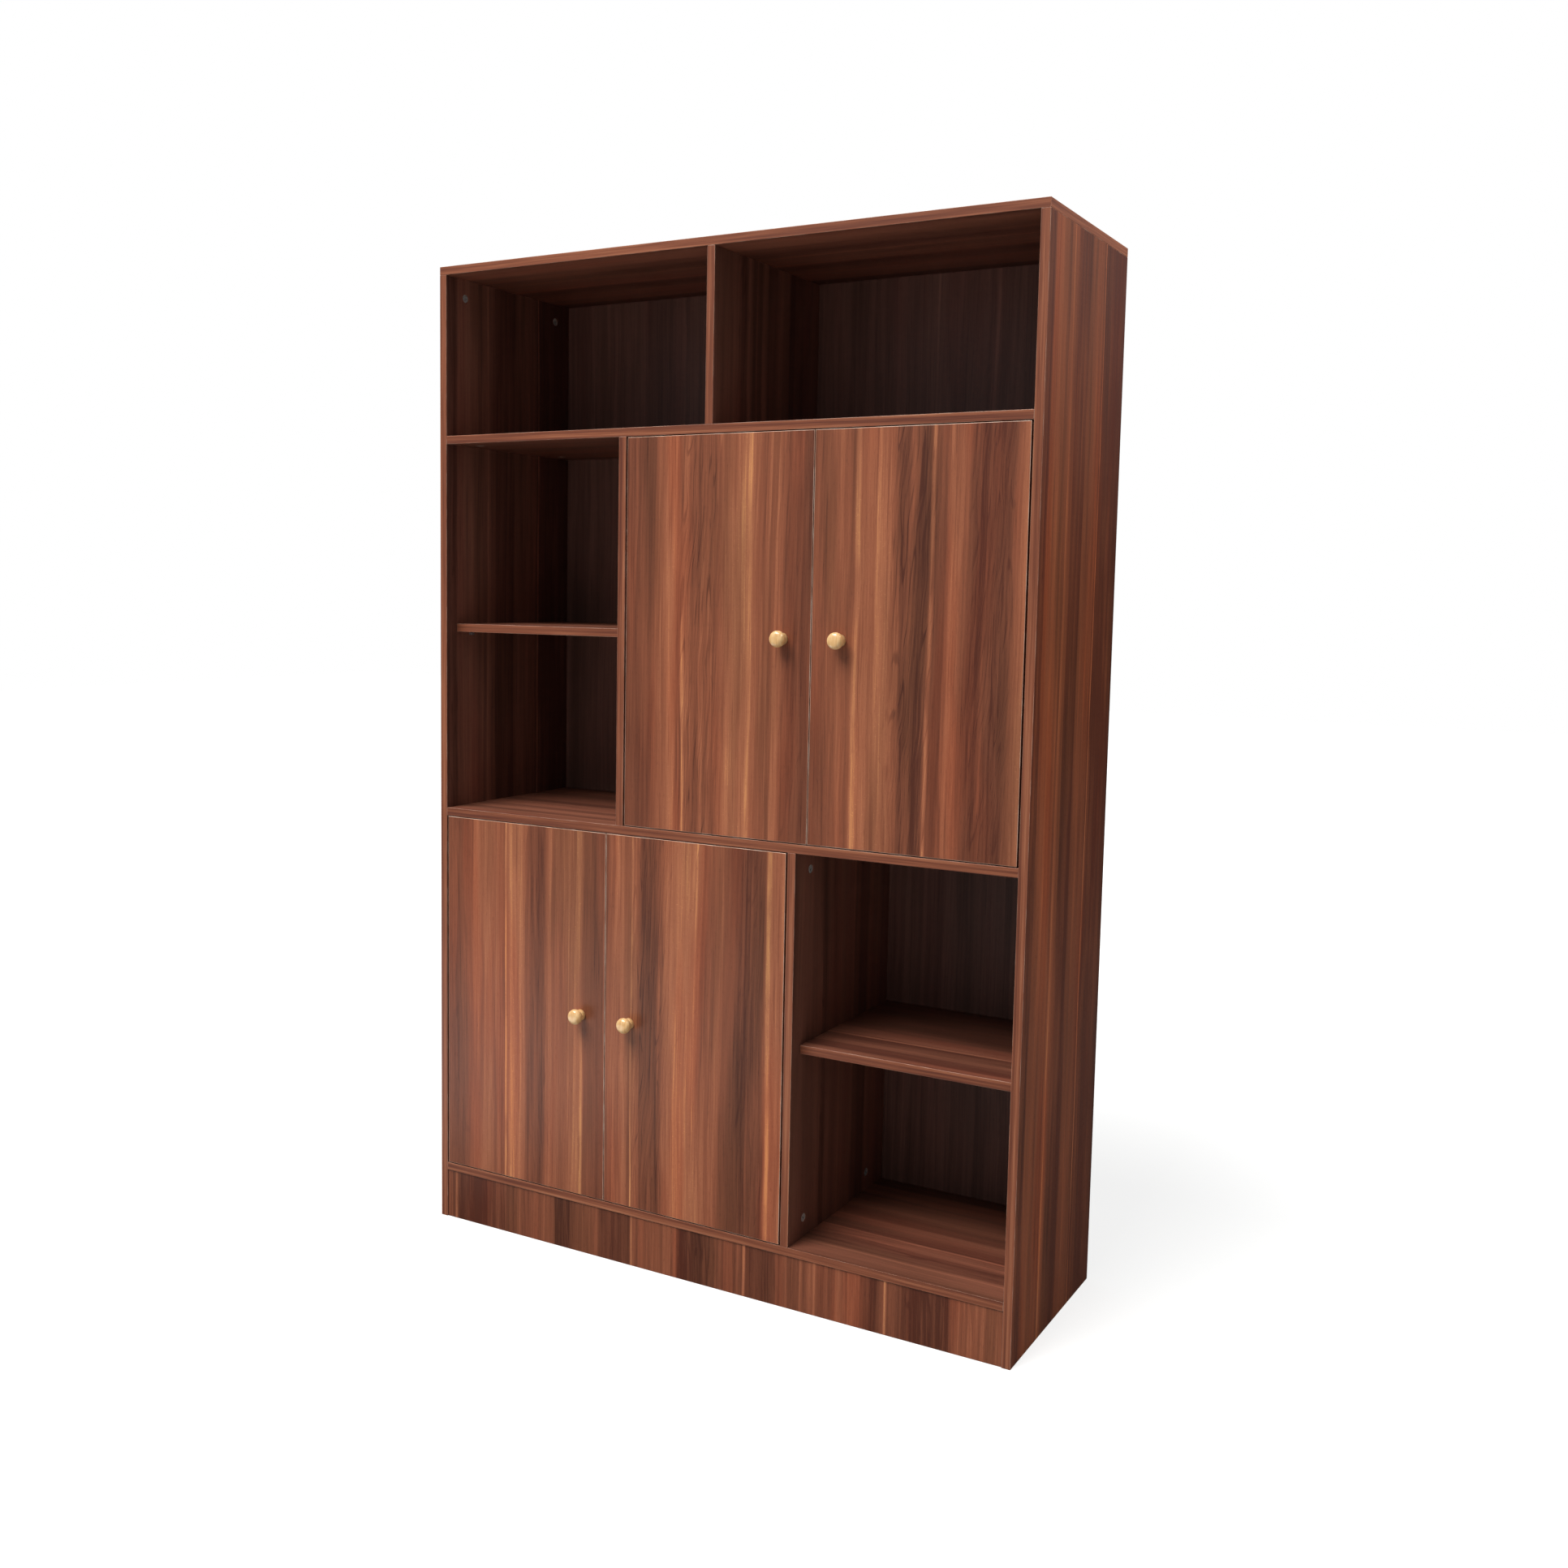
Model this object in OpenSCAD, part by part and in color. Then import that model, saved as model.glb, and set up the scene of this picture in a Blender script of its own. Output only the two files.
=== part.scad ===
// Free-standing storage cabinet in wood-print board: two open compartments on top, then a row with an
// open bay on the left and a pair of doors, then a row with a pair of doors and an open bay on the right.

/* [Carcass] */
// Overall width over the side panels
cabinet_w = 1160; // [1000:10:1300]
// Overall height from the floor to the top face
cabinet_h = 1800; // [1700:10:2000]
// Depth from the front edges to the rear edges of the side panels
cabinet_d = 395; // [350:5:450]
// Thickness of every board
board_t = 15; // [15:1:18]
// Clear width of the open bay in each of the two lower rows
bay_w = 385; // [340:5:440]
// Clear height of each of the two rows with doors
row_h = 678; // [600:2:700]
// Height of the underside of the bottom panel above the floor
plinth_h = 93; // [60:1:120]
// How far the front plinth sits behind the front edges
plinth_setback = 2; // [0:1:40]

/* [Back] */
// Thickness of the back panels
back_t = 4; // [3:0.5:6]
// Distance from the rear edges to the rear face of the back panels
back_inset = 9; // [5:1:20]
// Depth of the groove that holds the back panels
groove_depth = 5; // [3:0.5:7]

/* [Loose shelves] */
// How far the open bay shelves sit behind the front edges
bay_shelf_setback = 28; // [5:1:60]
// How far the shelves behind the doors sit behind the front edges
cupboard_shelf_setback = 60; // [50:1:100]
// Height of the middle of a loose shelf above the middle of its row
shelf_lift = 0; // [-40:1:40]
// Gap at each end of a loose shelf
shelf_gap = 1; // [0.5:0.5:2]

/* [Doors] */
// Gap between a door and the board it hangs on
hinge_gap = 3; // [2:0.5:4]
// Gap between the two doors of a pair
meeting_gap = 1.5; // [1.5:0.5:4]
// Gap above and below a door
end_gap = 1.5; // [1.5:0.5:4]

/* [Knobs] */
// Diameter of the knob's head
knob_d = 28; // [22:1:32]
// Diameter of the knob's foot
knob_foot_d = 21; // [16:1:24]
// How far the knob stands out from the door
knob_reach = 26; // [22:1:30]
// Distance from the knob's axis to the meeting edge of its door
knob_edge = 52; // [35:1:70]

/* [Hinges] */
// Distance from the top or bottom edge of a door to the middle of its hinge
hinge_end = 100; // [80:5:140]
// Diameter of the hinge cup
cup_d = 35; // [34:1:36]
// Distance from the hinged edge of the door to the middle of the cup
cup_edge = 22.5; // [21.5:0.5:24]

/* [Fixings] */
// Diameter of a cam lock
cam_d = 15; // [12:1:15]
// Distance from a joint to the middle of its cam locks
cam_setback = 34; // [28:1:36]
// Diameter of the wooden dowels
dowel_d = 8; // [6:1:8]
// Length of the wooden dowels
dowel_l = 30; // [25:1:35]

/* [Hidden] */
DOORS = ["upper_left", "upper_right", "lower_left", "lower_right"];
DOOR_PIECES = ["door", "knob", "knob_screw", "hinge_cups", "cup_screws", "outer_links", "inner_links"];
CARCASS = ["left_side_panel", "right_side_panel", "top_panel", "bottom_panel", "middle_fixed_shelf",
    "upper_fixed_shelf", "top_divider", "upper_divider", "lower_divider", "upper_back_panel",
    "lower_back_panel", "front_plinth", "rear_plinth", "left_bay_shelf", "right_bay_shelf",
    "upper_cupboard_shelf", "lower_cupboard_shelf", "cam_locks", "cam_bolts", "wooden_dowels",
    "shelf_pins", "back_panel_screws", "hinge_mounting_plates", "hinge_plate_screws", "hinge_arms",
    "hinge_arm_screws", "hinge_arm_pins"];
$fn = 48;

// Colours
walnut = "#7a4630";
dark_walnut = "#5f3626";
steel = "#b9bcc0";
zinc = "#c9cac8";
pale_wood = "#e0b878";
beech = "#d9b98c";

// Directions
LEFT = [-1, 0, 0];
RIGHT = [1, 0, 0];
FRONT = [0, -1, 0];
REAR = [0, 1, 0];
DOWN = [0, 0, -1];
UP = [0, 0, 1];

// Levels and widths, from the left outer face, the front edges and the floor
bottom_z = plinth_h + board_t;
middle_z = bottom_z + row_h;
upper_z = middle_z + board_t + row_h;
top_z = cabinet_h - board_t;
inner_x = board_t;
far_x = cabinet_w - board_t;
cupboard_w = far_x - inner_x - board_t - bay_w;
upper_divider_x = inner_x + bay_w;
lower_divider_x = inner_x + cupboard_w;
top_divider_x = (cabinet_w - board_t) / 2;
back_y = cabinet_d - back_inset - back_t;
half_t = board_t / 2;
groove_play = 0.2;

// The row frame stands on the floor, centred between the side panels and between knobs and rear edges
front_y = -(cabinet_d - knob_reach) / 2;

// Fixings along the depth of the cabinet
shelf_cam_y = [57, 311];
side_cam_y = [55, 336];
dowel_y = 184;
side_dowel_y = [120, 271];
rear_plinth_y = cabinet_d - 45;
front_plinth_y = plinth_setback;

// Every cam joint is [point where the two boards meet, way into the cam's board, way out of its cam face]
cam_joints = concat(
    [for (y = side_cam_y) each [
        [[half_t, y, top_z], DOWN, RIGHT],
        [[cabinet_w - half_t, y, top_z], DOWN, LEFT]]],
    [for (y = shelf_cam_y, z = [plinth_h, middle_z, upper_z]) each [
        [[inner_x, y, z + half_t], RIGHT, DOWN],
        [[far_x, y, z + half_t], LEFT, DOWN]]],
    [for (y = shelf_cam_y) each [
        [[top_divider_x + half_t, y, top_z], DOWN, LEFT],
        [[top_divider_x + half_t, y, upper_z + board_t], UP, LEFT],
        [[upper_divider_x + half_t, y, upper_z], DOWN, RIGHT],
        [[upper_divider_x + half_t, y, middle_z + board_t], UP, RIGHT],
        [[lower_divider_x + half_t, y, middle_z], DOWN, RIGHT],
        [[lower_divider_x + half_t, y, bottom_z], UP, RIGHT]]],
    [for (y = [front_plinth_y, rear_plinth_y]) each [
        [[inner_x, y + half_t, plinth_h / 2], RIGHT, y < cabinet_d / 2 ? REAR : FRONT],
        [[far_x, y + half_t, plinth_h / 2], LEFT, y < cabinet_d / 2 ? REAR : FRONT]]]);

// Every dowel is [point where the two boards meet, direction]
dowels = concat(
    [for (y = side_dowel_y, x = [half_t, cabinet_w - half_t]) [[x, y, top_z], UP]],
    [for (z = [plinth_h, middle_z, upper_z]) each [
        [[inner_x, dowel_y, z + half_t], LEFT],
        [[far_x, dowel_y, z + half_t], RIGHT]]],
    [[[top_divider_x + half_t, dowel_y, top_z], UP],
     [[top_divider_x + half_t, dowel_y, upper_z + board_t], DOWN],
     [[upper_divider_x + half_t, dowel_y, upper_z], UP],
     [[upper_divider_x + half_t, dowel_y, middle_z + board_t], DOWN],
     [[lower_divider_x + half_t, dowel_y, middle_z], UP],
     [[lower_divider_x + half_t, dowel_y, bottom_z], DOWN]],
    [for (x = [250, cabinet_w / 2, cabinet_w - 250], y = [front_plinth_y, rear_plinth_y])
        [[x, y + half_t, plinth_h], UP]]);
dowel_in = 10;

// Loose shelves are [left face of the space, width of the space, floor of the row, setback]
bay_shelves = [
    [inner_x, bay_w, middle_z + board_t, bay_shelf_setback],
    [lower_divider_x + board_t, bay_w, bottom_z, bay_shelf_setback]];
cupboard_shelves = [
    [upper_divider_x + board_t, cupboard_w, middle_z + board_t, cupboard_shelf_setback],
    [inner_x, cupboard_w, bottom_z, cupboard_shelf_setback]];
pin_d = 5;
pin_head_d = 7;
pin_in = 7;
pin_out = 8;
pin_end = 40;

function shelf_z(shelf) = shelf[2] + (row_h - board_t) / 2 + shelf_lift;
function pin_ys(shelf) = [shelf[3] + pin_end, back_y - pin_end];

// Every shelf pin is [point on the wall, way into the space]
pins = [for (s = concat(bay_shelves, cupboard_shelves), y = pin_ys(s)) each [
    [[s[0], y, shelf_z(s) - pin_head_d / 2], RIGHT],
    [[s[0] + s[1], y, shelf_z(s) - pin_head_d / 2], LEFT]]];

// Doors are [name, hinged edge, lower edge, 1 when hinged on the left and -1 on the right]
door_w = (cupboard_w - 2 * hinge_gap - meeting_gap) / 2;
door_h = row_h - 2 * end_gap;
upper_door_z = middle_z + board_t + end_gap;
lower_door_z = bottom_z + end_gap;
door_list = [
    ["upper_left", upper_divider_x + board_t + hinge_gap, upper_door_z, 1],
    ["upper_right", far_x - hinge_gap, upper_door_z, -1],
    ["lower_left", inner_x + hinge_gap, lower_door_z, 1],
    ["lower_right", lower_divider_x - hinge_gap, lower_door_z, -1]];

// Hinge mechanism, in a frame with x from the hinged edge into the door and y from its front face.
// The door turns about the origin of this frame. Both links and the two pins form a parallelogram
// with that origin, so the outer link turns with the door and the inner link keeps its direction.
arm_pin = [16, 20];
cup_pin = [28, 9.5];
elbow = arm_pin + cup_pin;
pin_r = 1.5;
elbow_r = 1.4;
running_play = 0.05;
open_pivot_play = 0.5;
link_half_w = 2;
boss_r = 2.8;
inner_link_h = 9;
outer_link_in = 6.2;
outer_link_out = 7.6;
arm_h = 11;
cup_depth = 11.5;
cup_wall = 1.2;
flange_t = 1;
cup_screw_x = cup_edge + 6;
cup_screw_z = 24;
plate_y = 52;
plate_screw_z = 16;
plate_block = [[-hinge_gap, 38], [-hinge_gap, 76], [5, 76], [5, 38]];
plate_wing_t = 3;
arm_outline = [[5, 38], [5, 76], [10, 76], [10, 40], [18.5, 22], [13.2, 18.4]];
arm_screw_ys = [46, 64];

// Cylinder that starts at a point and runs along a direction
module rod(point, way, length, diameter) {
    turn = way[2] != 0 ? [way[2] > 0 ? 0 : 180, 0, 0] : way[0] != 0 ? [0, 90 * way[0], 0] : [-90 * way[1], 0, 0];
    translate(point) rotate(turn) cylinder(d = diameter, h = length);
}

// Moves a piece drawn from the left outer face and the front edges into the row frame
module placed() {
    translate([-cabinet_w / 2, front_y, 0]) children();
}

function touches(point, low, high) =
    min([for (i = [0:2]) min(point[i] - low[i], high[i] - point[i])]) > -0.5;

// Bores of one cam joint, in both of its boards
module cam_bores(joint) {
    centre = joint[0] + cam_setback * joint[1];
    rod(joint[0], joint[1], cam_setback, 8);
    rod(joint[0], -joint[1], 11, 5);
    rod(centre - (half_t - 2.5) * joint[2], joint[2], board_t, cam_d);
}

module dowel_bore(dowel) {
    rod(dowel[0], dowel[1], dowel_in, dowel_d);
    rod(dowel[0], -dowel[1], dowel_l - dowel_in, dowel_d);
}

module pin_bore(pin) {
    rod(pin[0], -pin[1], pin_in, pin_d);
}

// Board between two corners, with the bores of every fixing that meets its faces
module board(low, high) {
    difference() {
        translate(low) cube(high - low);
        for (joint = cam_joints) if (touches(joint[0], low, high)) cam_bores(joint);
        for (dowel = dowels) if (touches(dowel[0], low, high)) dowel_bore(dowel);
        for (pin = pins) if (touches(pin[0], low, high)) pin_bore(pin);
        for (door = door_list, z = hinge_zs(door)) {
            if (touches(plate_screw(door, z, 1), low, high))
                for (side = [-1, 1]) rod(plate_screw(door, z, side), [-door[3], 0, 0], 12, 4);
        }
    }
}

function hinge_zs(door) = [door[2] + hinge_end, door[2] + door_h - hinge_end];
function plate_screw(door, z, side) = [door[1] - hinge_gap * door[3], plate_y, z + side * plate_screw_z];

// Groove for the back panels, cut between two corners
module back_groove(low_x, high_x, low_z, high_z) {
    translate([low_x, back_y - groove_play / 2, low_z])
        cube([high_x - low_x, back_t + groove_play, high_z - low_z]);
}

module left_side_panel() {
    color(dark_walnut) placed() difference() {
        board([0, 0, 0], [board_t, cabinet_d, top_z]);
        back_groove(board_t - groove_depth, board_t + 1, plinth_h, top_z + 1);
    }
}

module right_side_panel() {
    color(dark_walnut) placed() difference() {
        board([far_x, 0, 0], [cabinet_w, cabinet_d, top_z]);
        back_groove(far_x - 1, far_x + groove_depth, plinth_h, top_z + 1);
    }
}

module top_panel() {
    color(walnut) placed() difference() {
        board([0, 0, top_z], [cabinet_w, cabinet_d, cabinet_h]);
        back_groove(inner_x - groove_depth, far_x + groove_depth, top_z - 1, top_z + groove_depth);
    }
}

module bottom_panel() {
    color(walnut) placed() difference() {
        board([inner_x, 0, plinth_h], [far_x, cabinet_d, bottom_z]);
        back_groove(inner_x - 1, far_x + 1, bottom_z - groove_depth, bottom_z + 1);
    }
}

module middle_fixed_shelf() {
    color(walnut) placed() difference() {
        board([inner_x, 0, middle_z], [far_x, back_y, middle_z + board_t]);
        for (screw = back_screws) back_screw_bore(screw);
    }
}

module upper_fixed_shelf() {
    color(walnut) placed() difference() {
        board([inner_x, 0, upper_z], [far_x, back_y, upper_z + board_t]);
        for (screw = back_screws) back_screw_bore(screw);
    }
}

module top_divider() {
    color(dark_walnut) placed()
        board([top_divider_x, 0, upper_z + board_t], [top_divider_x + board_t, back_y, top_z]);
}

module upper_divider() {
    color(dark_walnut) placed()
        board([upper_divider_x, 0, middle_z + board_t], [upper_divider_x + board_t, back_y, upper_z]);
}

module lower_divider() {
    color(dark_walnut) placed()
        board([lower_divider_x, 0, bottom_z], [lower_divider_x + board_t, back_y, middle_z]);
}

// Back panels meet on the centre line of the middle fixed shelf's rear edge
back_joint_z = middle_z + half_t;
back_play = 0.5;
back_low_x = inner_x - groove_depth + back_play;
back_high_x = far_x + groove_depth - back_play;
back_screw_xs = [60, cabinet_w / 2 - 180, cabinet_w / 2 + 180, cabinet_w - 60];
back_screws = [for (x = back_screw_xs, z = [back_joint_z - 4.5, back_joint_z + 4.5, upper_z + half_t]) [x, z]];
back_screw_d = 3;
back_screw_l = 18;

module back_screw_bore(screw) {
    rod([screw[0], back_y - back_screw_l + back_t, screw[1]], REAR, back_screw_l, back_screw_d);
}

module back_panel(low_z, high_z) {
    color(dark_walnut) placed() difference() {
        translate([back_low_x, back_y, low_z]) cube([back_high_x - back_low_x, back_t, high_z - low_z]);
        for (screw = back_screws) back_screw_bore(screw);
    }
}

module upper_back_panel() {
    back_panel(back_joint_z + back_play / 2, top_z + groove_depth - back_play);
}

module lower_back_panel() {
    back_panel(bottom_z - groove_depth + back_play, back_joint_z - back_play / 2);
}

module back_panel_screws() {
    head_d = 6.5;
    color(steel) placed() for (screw = back_screws) {
        rod([screw[0], back_y - back_screw_l + back_t, screw[1]], REAR, back_screw_l, back_screw_d);
        rod([screw[0], back_y + back_t, screw[1]], REAR, 1.8, head_d);
    }
}

module front_plinth() {
    color(walnut) placed()
        board([inner_x, front_plinth_y, 0], [far_x, front_plinth_y + board_t, plinth_h]);
}

module rear_plinth() {
    color(dark_walnut) placed()
        board([inner_x, rear_plinth_y, 0], [far_x, rear_plinth_y + board_t, plinth_h]);
}

module loose_shelf(shelf) {
    color(walnut) placed() translate([shelf[0] + shelf_gap, shelf[3], shelf_z(shelf)])
        cube([shelf[1] - 2 * shelf_gap, back_y - shelf_gap - shelf[3], board_t]);
}

module cam_lock(joint) {
    face_recess = 0.4;
    cam_h = board_t - 2.5 - face_recess;
    centre = joint[0] + cam_setback * joint[1];
    base = centre - (half_t - 2.5) * joint[2];
    slot_w = 7;
    difference() {
        rod(base, joint[2], cam_h, cam_d - 0.4);
        rod(centre + 0.1 * joint[1], -joint[1], cam_d, slot_w);
        for (angle = [0, 90])
            translate(base + (cam_h - 0.9) * joint[2]) rotate(angle + 45, joint[2])
                cube([for (i = [0:2]) joint[2][i] != 0 ? 4 : joint[1][i] != 0 ? 7.5 : 1.6], center = true);
    }
}

module cam_locks() {
    color(zinc) placed() for (joint = cam_joints) cam_lock(joint);
}

module cam_bolts() {
    color(steel) placed() for (joint = cam_joints) {
        rod(joint[0], -joint[1], 10.5, 5);
        rod(joint[0], joint[1], 2, 7);
        rod(joint[0], joint[1], cam_setback - 1, 4);
        rod(joint[0] + (cam_setback - 4) * joint[1], joint[1], 3, 6);
    }
}

module wooden_dowels() {
    end_play = 0.5;
    color(beech) placed() for (dowel = dowels)
        rod(dowel[0] + (dowel_in - end_play) * dowel[1], -dowel[1], dowel_l - 2 * end_play, dowel_d);
}

module shelf_pins() {
    color(steel) placed() for (pin = pins) {
        rod(pin[0], -pin[1], pin_in, pin_d);
        rod(pin[0], pin[1], pin_out, pin_head_d);
    }
}

// Draws a hinge piece at both hinges of a door, mirrored for a door hinged on the right
module at_hinges(door) {
    for (z = hinge_zs(door)) translate([door[1], 0, z]) mirror([door[3] > 0 ? 0 : 1, 0, 0]) children();
}

module at_all_hinges() {
    placed() for (door = door_list) at_hinges(door) children();
}

// Plate of a given height, centred on the middle plane of the hinge
module plate(points, height) {
    translate([0, 0, -height / 2]) linear_extrude(height) polygon(points);
}

module hinge_pin_rod(point, radius, height) {
    translate([point[0], point[1], -height / 2]) cylinder(r = radius, h = height);
}

// Flat bar with a round boss at each end
module link_bar(start, end, height) {
    way = end - start;
    hinge_pin_rod(start, boss_r, height);
    hinge_pin_rod(end, boss_r, height);
    translate([start[0], start[1], 0]) rotate([0, 0, atan2(way[1], way[0])])
        translate([0, -link_half_w, -height / 2]) cube([norm(way), 2 * link_half_w, height]);
}

module hinge_mounting_plates() {
    wing_h = 52;
    block_h = 14;
    color(steel) at_all_hinges() difference() {
        union() {
            plate(plate_block, block_h);
            translate([-hinge_gap, plate_y - 7, -wing_h / 2]) cube([plate_wing_t, 14, wing_h]);
        }
        for (side = [-1, 1])
            rod([-hinge_gap - 1, plate_y, side * plate_screw_z], RIGHT, plate_wing_t + 2, 4);
    }
}

module hinge_plate_screws() {
    color(steel) at_all_hinges() for (side = [-1, 1]) {
        rod([-hinge_gap - 12, plate_y, side * plate_screw_z], RIGHT, 12 + plate_wing_t, 4);
        rod([-hinge_gap + plate_wing_t, plate_y, side * plate_screw_z], RIGHT, 2, 7.5);
    }
}

module hinge_arms() {
    color(zinc) at_all_hinges() difference() {
        union() {
            plate(arm_outline, arm_h);
            hinge_pin_rod(arm_pin, 3.2, arm_h);
        }
        hinge_pin_rod(arm_pin, pin_r, arm_h + 2);
        for (y = arm_screw_ys) rod([-1, y, 0], RIGHT, 15, 4);
    }
}

module hinge_arm_screws() {
    color(steel) at_all_hinges() for (y = arm_screw_ys) {
        rod([5, y, 0], RIGHT, 5, 4);
        rod([10, y, 0], RIGHT, 1.8, 7);
    }
}

module hinge_arm_pins() {
    color(steel) at_all_hinges() hinge_pin_rod(arm_pin, pin_r, 2 * outer_link_out);
}

module outer_links(door) {
    plate_t = outer_link_out - outer_link_in;
    color(zinc) placed() at_hinges(door) difference() {
        union() {
            for (side = [-1, 1]) translate([0, 0, side * (outer_link_in + outer_link_out) / 2])
                link_bar(arm_pin, elbow, plate_t);
            hinge_pin_rod(elbow, elbow_r, 2 * outer_link_in + plate_t);
        }
        hinge_pin_rod(arm_pin, pin_r + running_play, 4 * outer_link_out);
    }
}

module inner_links(door) {
    color(zinc) placed() at_hinges(door) difference() {
        union() {
            link_bar(cup_pin, elbow, inner_link_h);
            hinge_pin_rod(cup_pin, pin_r, 22);
        }
        hinge_pin_rod(elbow, elbow_r + open_pivot_play, inner_link_h + 2);
    }
}

module hinge_cups(door) {
    pocket_h = 17;
    rear = board_t + flange_t;
    color(steel) placed() at_hinges(door) difference() {
        union() {
            rod([cup_edge, board_t - cup_depth, 0], REAR, cup_depth + flange_t, cup_d);
            rod([cup_edge, board_t, 0], REAR, flange_t, cup_d + 3);
            translate([cup_edge - 1, board_t, -29]) cube([14, flange_t, 58]);
        }
        intersection() {
            rod([cup_edge, board_t - cup_depth + 1.5, 0], REAR, cup_depth + 2, cup_d - 2 * cup_wall);
            translate([0, 0, -pocket_h / 2]) cube([cup_d * 2, rear + 2, pocket_h]);
        }
        hinge_pin_rod(cup_pin, pin_r + running_play, 23);
        for (side = [-1, 1]) rod([cup_screw_x, 10, side * cup_screw_z], REAR, 10, 3.5);
    }
}

module cup_screws(door) {
    color(steel) placed() at_hinges(door) for (side = [-1, 1]) {
        rod([cup_screw_x, 4, side * cup_screw_z], REAR, board_t + flange_t - 4, 3.5);
        rod([cup_screw_x, board_t + flange_t, side * cup_screw_z], REAR, 1.8, 7);
    }
}

function knob_point(door) = [door[1] + door[3] * (door_w - knob_edge), 0, door[2] + door_h / 2];

module door(door) {
    left = door[3] > 0 ? door[1] : door[1] - door_w;
    color(walnut) placed() difference() {
        translate([left, 0, door[2]]) cube([door_w, board_t, door_h]);
        at_hinges(door) {
            rod([cup_edge, board_t - cup_depth, 0], REAR, cup_depth + 1, cup_d);
            for (side = [-1, 1]) rod([cup_screw_x, 4, side * cup_screw_z], REAR, board_t, 3.5);
        }
        rod(knob_point(door) - [0, 1, 0], REAR, board_t + 2, knob_screw_d + 0.4);
    }
}

// Half outline of the knob, with its axis on x = 0 and its foot on y = 0
knob_screw_d = 4;
knob_screw_in = 14;
knob_waist_r = 7.6;
knob_head_y = 16;
knob_outline = concat(
    [[0, 0], [knob_foot_d / 2, 0], [knob_foot_d / 2, 2.6], [knob_foot_d / 2 - 0.9, 3.9], [knob_waist_r, 5.6]],
    [for (a = [80:-10:0])
        [knob_d / 2 - (knob_d / 2 - knob_waist_r) * (1 - cos(a)), knob_head_y - (knob_head_y - 7.4) * sin(a)]],
    [for (a = [7.5:7.5:82.5])
        [knob_d / 2 * cos(a), knob_head_y + (knob_reach - knob_head_y) * sin(a)]],
    [[0, knob_reach]]);

module knob(door) {
    color(pale_wood) placed() translate(knob_point(door)) rotate([90, 0, 0]) difference() {
        rotate_extrude() polygon(knob_outline);
        translate([0, 0, -1]) cylinder(d = knob_screw_d, h = knob_screw_in + 1);
    }
}

module knob_screw(door) {
    head_t = 2.2;
    color(steel) placed() translate(knob_point(door)) {
        rod([0, board_t, 0], FRONT, board_t + knob_screw_in, knob_screw_d);
        rod([0, board_t, 0], REAR, head_t, 8);
    }
}

left_side_panel();
right_side_panel();
top_panel();
bottom_panel();
middle_fixed_shelf();
upper_fixed_shelf();
top_divider();
upper_divider();
lower_divider();
upper_back_panel();
lower_back_panel();
front_plinth();
rear_plinth();
loose_shelf(bay_shelves[0]);  // left_bay_shelf
loose_shelf(bay_shelves[1]);  // right_bay_shelf
loose_shelf(cupboard_shelves[0]);  // upper_cupboard_shelf
loose_shelf(cupboard_shelves[1]);  // lower_cupboard_shelf
cam_locks();
cam_bolts();
wooden_dowels();
shelf_pins();
back_panel_screws();
hinge_mounting_plates();
hinge_plate_screws();
hinge_arms();
hinge_arm_screws();
hinge_arm_pins();
for (d = door_list) {
    door(d);
    knob(d);
    knob_screw(d);
    hinge_cups(d);
    cup_screws(d);
    outer_links(d);
    inner_links(d);
}
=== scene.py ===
# Tall storage cabinet in walnut wood-print board: finishes, knobs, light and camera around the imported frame.
import math
import random

import bmesh
import bpy
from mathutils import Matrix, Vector


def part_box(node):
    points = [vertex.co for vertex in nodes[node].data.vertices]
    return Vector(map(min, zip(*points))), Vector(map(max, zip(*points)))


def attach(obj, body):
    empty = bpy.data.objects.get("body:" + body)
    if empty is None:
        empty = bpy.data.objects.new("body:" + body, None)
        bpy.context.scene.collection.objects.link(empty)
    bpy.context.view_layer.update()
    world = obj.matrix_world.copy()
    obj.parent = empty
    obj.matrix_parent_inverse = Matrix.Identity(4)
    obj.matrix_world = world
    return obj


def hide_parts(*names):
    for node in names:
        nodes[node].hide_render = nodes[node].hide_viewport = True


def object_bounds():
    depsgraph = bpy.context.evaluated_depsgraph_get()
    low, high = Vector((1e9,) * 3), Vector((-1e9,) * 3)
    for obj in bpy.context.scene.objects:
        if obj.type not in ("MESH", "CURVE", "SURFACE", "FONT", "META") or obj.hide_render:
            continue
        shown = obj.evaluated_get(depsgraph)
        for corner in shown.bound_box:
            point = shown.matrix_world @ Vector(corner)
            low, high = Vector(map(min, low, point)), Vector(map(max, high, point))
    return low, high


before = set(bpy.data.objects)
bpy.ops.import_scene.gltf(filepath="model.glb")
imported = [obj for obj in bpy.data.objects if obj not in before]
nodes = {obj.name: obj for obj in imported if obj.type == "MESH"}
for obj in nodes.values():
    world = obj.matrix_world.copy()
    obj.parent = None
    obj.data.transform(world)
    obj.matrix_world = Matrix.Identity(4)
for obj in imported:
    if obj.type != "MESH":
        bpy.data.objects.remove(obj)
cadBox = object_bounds()
mm = 0.001
doorNames = ["upper_left", "upper_right", "lower_left", "lower_right"]
print("frame loaded:", len(nodes), "pieces")


def hexColour(text):  # web colour to linear RGBA, by the sRGB curve
    channels = [int(text[i:i + 2], 16) / 255 for i in (0, 2, 4)]
    return tuple(c / 12.92 if c <= 0.04045 else ((c + 0.055) / 1.055) ** 2.4 for c in channels) + (1.0,)


# Small helpers that add shader nodes to a tree and give back an output.
def plug(tree, socket, value):
    if isinstance(value, bpy.types.NodeSocket):
        tree.links.new(value, socket)
    else:
        socket.default_value = value


def addNode(tree, kind, inputs=None, **settings):
    node = tree.nodes.new(kind)
    for name, value in settings.items():
        setattr(node, name, value)
    for name, value in (inputs or {}).items():
        plug(tree, node.inputs[name], value)
    return node


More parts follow.
